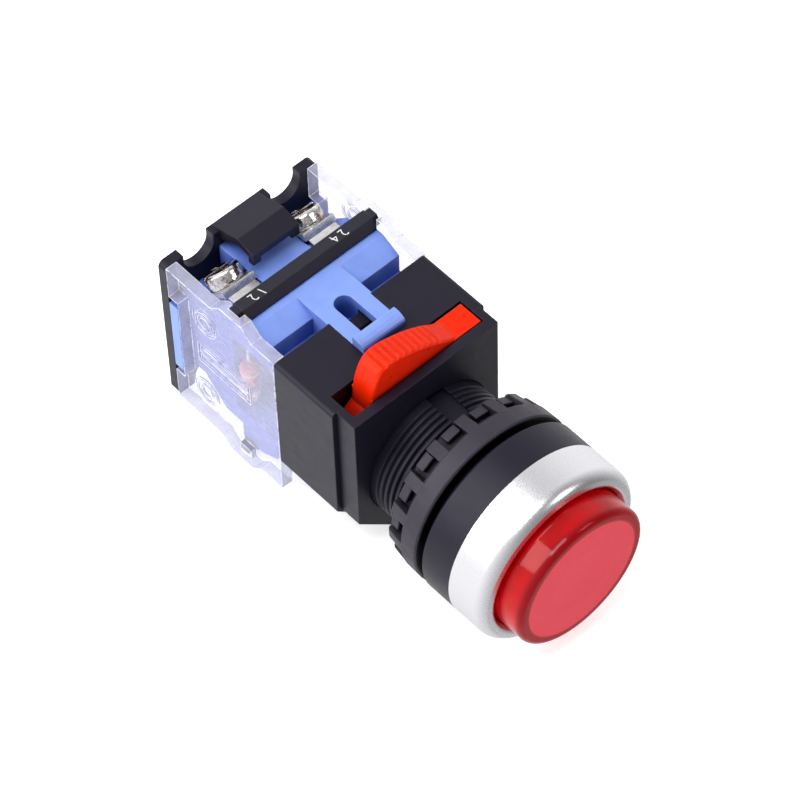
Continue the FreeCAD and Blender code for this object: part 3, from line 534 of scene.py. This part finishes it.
def terminal_number(text, x, bar, top, material):
    """Printed terminal number, read from the block's rear."""
    low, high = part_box(bar)
    curve = bpy.data.curves.new("text_" + text, "FONT")
    curve.body = text
    curve.size = DIGIT_HEIGHT / DIGIT_SHARE
    curve.align_x = "CENTER"
    curve.align_y = "CENTER"
    curve.extrude = DIGIT_RAISE
    curve.offset = DIGIT_THINNING
    curve.shear = DIGIT_SLANT
    curve.space_character = DIGIT_SPACING
    obj = bpy.data.objects.new("text_" + text, curve)
    bpy.context.scene.collection.objects.link(obj)
    if top:
        obj.matrix_world = Matrix.Translation((x, DIGIT_Y, high.z)) @ Matrix.Rotation(math.pi, 4, "Z")
    else:
        obj.matrix_world = Matrix.Translation((x, DIGIT_Y, low.z)) @ Matrix.Rotation(math.pi, 4, "X")
    piece = link_mesh("number_" + text, mesh_from(obj), material)
    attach(piece, "base")


def terminal_numbers():
    material = ink()
    for text, x in DIGIT_X.items():
        top = text in ("12", "24")
        terminal_number(text, x, "label_bar_top" if top else "label_bar_bottom", top, material)


# ------------------------------------------------------------ studio

def look_rotation(back, up):
    """Turn for a camera or lamp that looks against back, with up as near the top as can be."""
    right = up.cross(back).normalized()
    return Matrix((right, back.cross(right).normalized(), back)).transposed().to_4x4()


def camera():
    az, el = CAMERA_AZIMUTH, CAMERA_ELEVATION
    back = Vector((math.sin(az) * math.cos(el), -math.cos(az) * math.cos(el), math.sin(el)))
    level = Vector((math.cos(az), math.sin(az), 0))
    rise = back.cross(level)
    right = level * math.cos(CAMERA_ROLL) + rise * math.sin(CAMERA_ROLL)
    data = bpy.data.cameras.new("camera")
    data.lens = CAMERA_LENS
    data.sensor_width = 36.0
    data.clip_start = 0.01
    obj = bpy.data.objects.new("camera", data)
    bpy.context.scene.collection.objects.link(obj)
    turn = look_rotation(back, back.cross(right))
    obj.matrix_world = Matrix.Translation(CAMERA_AIM + back * CAMERA_DISTANCE) @ turn
    bpy.context.scene.camera = obj


def softbox(name, position, target, width, height, power):
    """White area lamp, sizes in metres and power in watts."""
    light = bpy.data.lights.new(name, "AREA")
    light.shape = "RECTANGLE"
    light.size, light.size_y = width, height
    light.energy = power
    obj = bpy.data.objects.new(name, light)
    bpy.context.scene.collection.objects.link(obj)
    back = (Vector(position) - Vector(target)).normalized()
    obj.matrix_world = Matrix.Translation(position) @ look_rotation(back, Vector((0, 0, 1)))


def studio_world():
    """Studio surround, brightest behind the left of the object, with a softer glow from its right."""
    world = bpy.data.worlds.new("studio")
    world.use_nodes = True
    tree = world.node_tree
    direction = tree.nodes.new("ShaderNodeTexCoord")
    level = None
    for axis, low, high, dim, bright in GLOWS:
        slope = tree.nodes.new("ShaderNodeVectorMath")
        slope.operation = "DOT_PRODUCT"
        slope.inputs[1].default_value = axis
        tree.links.new(direction.outputs["Generated"], slope.inputs[0])
        glow = tree.nodes.new("ShaderNodeMapRange")
        for key, value in (("From Min", low), ("From Max", high), ("To Min", dim), ("To Max", bright)):
            glow.inputs[key].default_value = value
        tree.links.new(slope.outputs["Value"], glow.inputs["Value"])
        if level is None:
            level = glow.outputs[0]
        else:
            total = tree.nodes.new("ShaderNodeMath")
            tree.links.new(level, total.inputs[0])
            tree.links.new(glow.outputs[0], total.inputs[1])
            level = total.outputs[0]
    tree.links.new(level, tree.nodes["Background"].inputs[1])
    tree.nodes["Background"].inputs[0].default_value = (1, 1, 1, 1)
    return world


def studio():
    scene = bpy.context.scene
    scene.view_settings.view_transform = "Standard"
    scene.world = studio_world()
    softbox("key", MIDDLE + Vector((-0.14, 0.0, 0.55)), MIDDLE, 0.30, 0.30, 1.8)
    softbox("front_right", MIDDLE + Vector((0.30, -0.45, 0.35)), MIDDLE, 0.20, 0.20, 0.5)
    softbox("left_window", LENS + 0.45 * Vector((-0.669, 0.449, 0.592)), LENS, 0.12, 0.44, 0.65)
    low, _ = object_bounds()
    corners = [(x * FLOOR_HALF, y * FLOOR_HALF, low[2]) for x, y in ((-1, -1), (1, -1), (1, 1), (-1, 1))]
    mesh = bpy.data.meshes.new("floor")
    mesh.from_pydata(corners, [], [(0, 1, 2, 3)])
    floor = link_mesh("floor", mesh, floor_material())
    floor.visible_glossy = False
    floor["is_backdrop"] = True


def main():
    table = make_materials()
    for name, obj in NODES.items():
        dress(obj, table[name])
    springs(table["button_return_spring"])
    terminal_numbers()
    camera()
    studio()


main()
